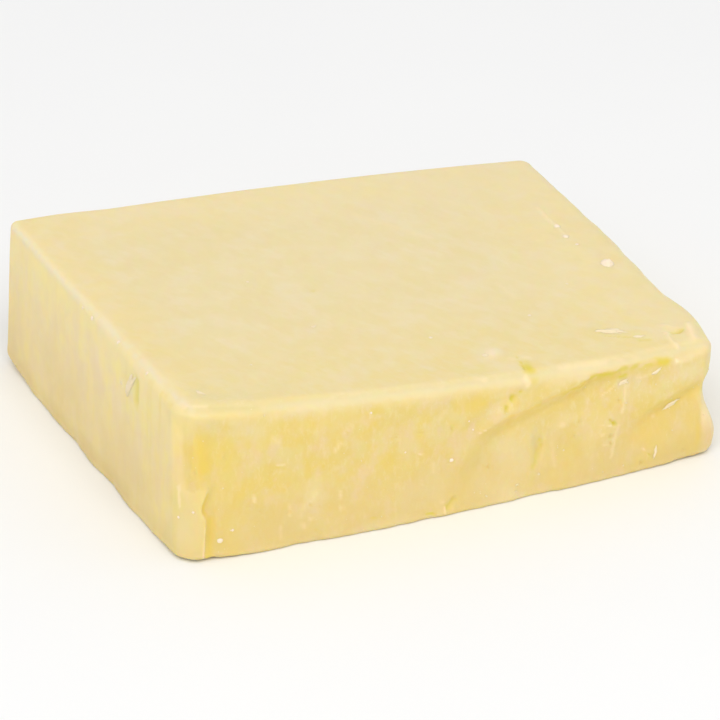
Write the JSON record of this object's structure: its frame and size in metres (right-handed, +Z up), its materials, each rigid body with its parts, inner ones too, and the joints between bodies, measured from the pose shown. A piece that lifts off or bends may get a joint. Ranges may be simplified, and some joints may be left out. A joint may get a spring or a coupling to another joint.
{
  "type": "block of sharp cheddar",
  "caption": "Pale yellow hand-cut block of hard cheese lying flat, with rounded cut edges, a broken front with a lipped scoop, and a waisted broken end.",
  "frame": {"origin": "on the underside, at the middle of the block's length and depth", "axes": "+X along the block's length towards its thin broken end, +Y from the broken front to the cut back, +Z up from the face it lies on"},
  "size_m": [0.106, 0.0874, 0.0296],
  "materials": {
    "cheddar": "firm pale yellow cheese with a faint waxy sheen, smooth and paler on its cut faces and edges, rough, pitted and a deeper yellow on its broken front and right end"
  },
  "bodies": {
    "root": {"cheddar_block": "cheddar"}
  },
  "joints": []
}
